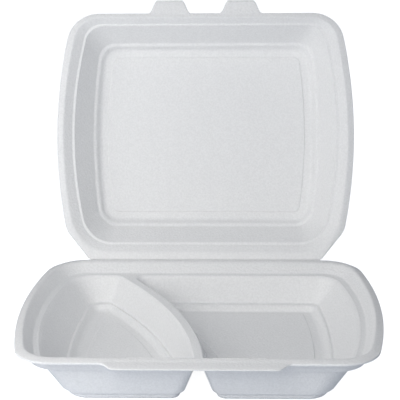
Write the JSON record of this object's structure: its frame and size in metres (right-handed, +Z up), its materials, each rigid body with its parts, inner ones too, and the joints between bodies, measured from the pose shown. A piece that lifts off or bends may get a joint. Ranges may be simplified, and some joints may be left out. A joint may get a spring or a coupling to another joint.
{
  "type": "compartment meal box",
  "caption": "Hinged foam meal box: a tray with a curved divider between a small and a main compartment, and a domed lid with latch tabs, standing open.",
  "frame": {"origin": "on the table, under the middle of the open box", "axes": "+Z up, +X to the right seen from the opening side, +Y from the opening tongue towards the hinge"},
  "size_m": [0.252, 0.2796, 0.2267],
  "materials": {
    "foam": "white polystyrene foam skin, fine grain, soft sheen"
  },
  "bodies": {
    "tray": {"tray": "foam"},
    "lid": {"lid": "foam"}
  },
  "joints": [
    {"name": "lid_hinge", "type": "hinge", "parent": "tray", "child": "lid", "pos_m": [0, 0.05736, 0.03565], "axis": [1, 0, 0], "range_deg": [-72.5, 107.5]}
  ]
}
